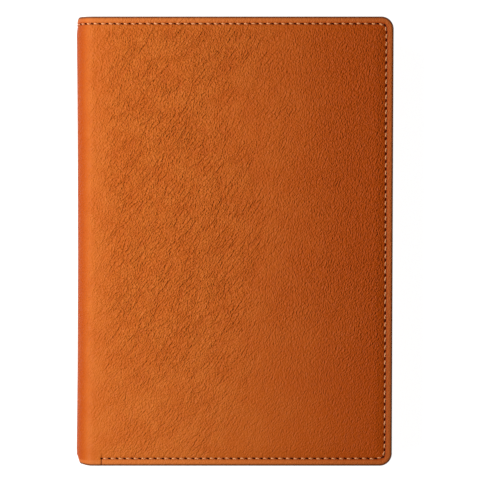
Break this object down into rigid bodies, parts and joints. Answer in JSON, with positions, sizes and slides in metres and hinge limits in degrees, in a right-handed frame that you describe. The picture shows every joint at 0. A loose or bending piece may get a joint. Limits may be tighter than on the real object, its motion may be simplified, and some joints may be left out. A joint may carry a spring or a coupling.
{
  "type": "leather notebook cover",
  "caption": "Slim tan leather notebook cover with stitched edges, a folding spine, card pockets, a document pocket and sleeves holding a sewn notebook.",
  "frame": {"origin": "middle of the face the closed cover rests on, under the back cover", "axes": "+X from the spine to the fore-edge, +Y to the top edge, +Z from the back cover up to the front cover"},
  "size_m": [0.1134, 0.16, 0.015],
  "materials": {
    "tan_leather": "semi-matt, fine pebble grain with soft creases",
    "inner_leather": "matt, fine grain",
    "thread": "waxed twisted thread",
    "stiffener": "matt board",
    "paper": "matt uncoated",
    "binding_cloth": "open weave",
    "notebook_card": "matt card"
  },
  "bodies": {
    "back_cover": {"back_shell": "tan_leather", "back_board": "stiffener", "back_lining": "inner_leather", "back_pocket_wall": "inner_leather", "back_sleeve": "inner_leather", "back_outer_thread": "thread", "back_inner_thread": "thread", "back_sleeve_thread": "thread", "notebook_back_card": "notebook_card", "signature_1": "paper", "signature_2": "paper", "signature_3": "paper", "signature_4": "paper", "binding_tape": "binding_cloth"},
    "spine": {"spine_shell": "tan_leather", "spine_lining": "inner_leather", "spine_pocket_wall": "inner_leather", "spine_outer_thread": "thread", "spine_inner_thread": "thread", "notebook_spine_card": "notebook_card"},
    "front_cover": {"front_shell": "tan_leather", "front_board": "stiffener", "front_lining": "inner_leather", "front_pocket_wall": "inner_leather", "front_sleeve": "inner_leather", "front_outer_thread": "thread", "front_inner_thread": "thread", "front_sleeve_thread": "thread", "card_pocket_1": "inner_leather", "card_pocket_2": "inner_leather", "card_pocket_3": "inner_leather", "card_pocket_thread": "thread", "notebook_front_card": "notebook_card"}
  },
  "joints": [
    {"name": "back_fold", "type": "hinge", "parent": "back_cover", "child": "spine", "pos_m": [-0.0553, 0, 0.00135], "axis": [0, -1, 0], "range_deg": [0, 90]},
    {"name": "front_fold", "type": "hinge", "parent": "spine", "child": "front_cover", "pos_m": [-0.0553, 0, 0.01365], "axis": [0, -1, 0], "range_deg": [0, 90]}
  ],
  "couplings": [
    {"joint": "front_fold", "follows": "back_fold", "ratio": 1}
  ]
}
